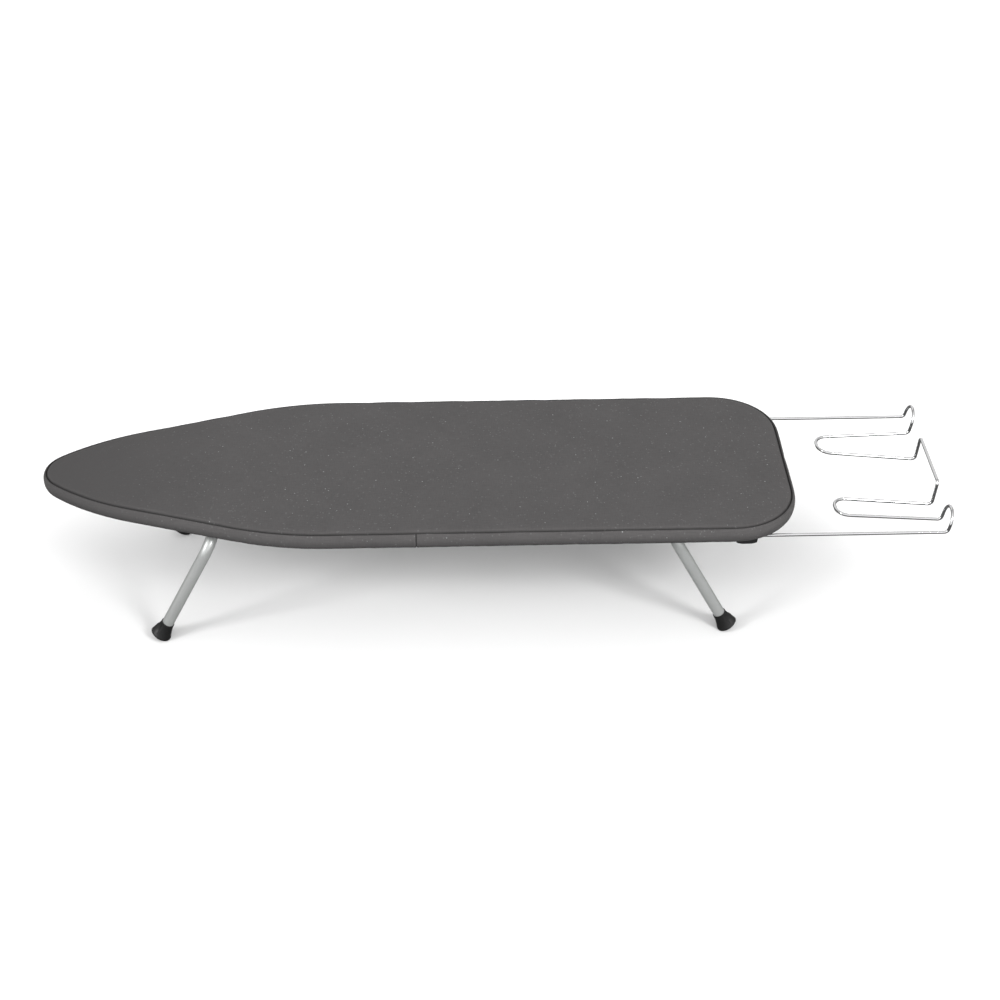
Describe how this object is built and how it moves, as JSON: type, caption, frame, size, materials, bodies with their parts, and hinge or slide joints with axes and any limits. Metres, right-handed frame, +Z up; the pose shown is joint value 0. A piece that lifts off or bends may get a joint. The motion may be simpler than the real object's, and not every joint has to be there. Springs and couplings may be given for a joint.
{
  "type": "table-top ironing board",
  "caption": "Low table-top ironing board with a padded fabric cover, folding U-shaped tube legs and a pull-out wire rest for the iron.",
  "frame": {"origin": "on the floor, under the middle of the whole object's box with the iron rest pulled out", "axes": "+X from the nose towards the square end and the iron rest, +Y to the right side seen from the square end, +Z up"},
  "size_m": [1.1395, 0.3, 0.1855],
  "materials": {
    "cover_fabric": "woven metallised cotton, charcoal, faint silver flecks",
    "drawstring_cord": "braided cord",
    "underlay_foam": "needled felt underlay",
    "panel_paint": "grey powder coat",
    "channel_steel": "zinc-plated pressed steel",
    "rivet_steel": "zinc-plated steel",
    "leg_tube_steel": "satin silver-grey coat",
    "foot_plastic": "black soft plastic",
    "rest_chrome": "bright chrome plate",
    "fitting_plastic": "black moulded plastic"
  },
  "bodies": {
    "board": {"cover_top": "cover_fabric", "cover_side_band": "cover_fabric", "hem_drawstring": "drawstring_cord", "underlay_pad": "underlay_foam", "board_panel": "panel_paint", "front_cross_channel": "channel_steel", "rear_cross_channel": "channel_steel", "front_left_saddle": "fitting_plastic", "front_right_saddle": "fitting_plastic", "rear_left_saddle": "fitting_plastic", "rear_right_saddle": "fitting_plastic", "saddle_rivets": "rivet_steel", "front_left_leg_clip": "fitting_plastic", "front_right_leg_clip": "fitting_plastic", "rear_left_leg_clip": "fitting_plastic", "rear_right_leg_clip": "fitting_plastic", "clip_rivets": "rivet_steel", "left_outer_rail_guide": "fitting_plastic", "right_outer_rail_guide": "fitting_plastic", "left_inner_rail_guide": "fitting_plastic", "right_inner_rail_guide": "fitting_plastic", "guide_rivets": "rivet_steel"},
    "front_leg": {"front_leg_tube": "leg_tube_steel", "front_left_foot": "foot_plastic", "front_right_foot": "foot_plastic", "front_stop_pins": "rivet_steel"},
    "rear_leg": {"rear_leg_tube": "leg_tube_steel", "rear_left_foot": "foot_plastic", "rear_right_foot": "foot_plastic", "rear_stop_pins": "rivet_steel"},
    "iron_rest": {"iron_rest_wire": "rest_chrome", "left_rail_cap": "fitting_plastic", "right_rail_cap": "fitting_plastic"}
  },
  "joints": [
    {"name": "front_leg_fold", "type": "hinge", "parent": "board", "child": "front_leg", "pos_m": [-0.34938, 0, 0.152], "axis": [0, -1, 0], "range_deg": [0, 118]},
    {"name": "rear_leg_fold", "type": "hinge", "parent": "board", "child": "rear_leg", "pos_m": [0.2217, 0, 0.152], "axis": [0, 1, 0], "range_deg": [0, 118]},
    {"name": "iron_rest_slide", "type": "slide", "parent": "board", "child": "iron_rest", "axis": [1, 0, 0], "range_m": [-0.17, 0]}
  ]
}
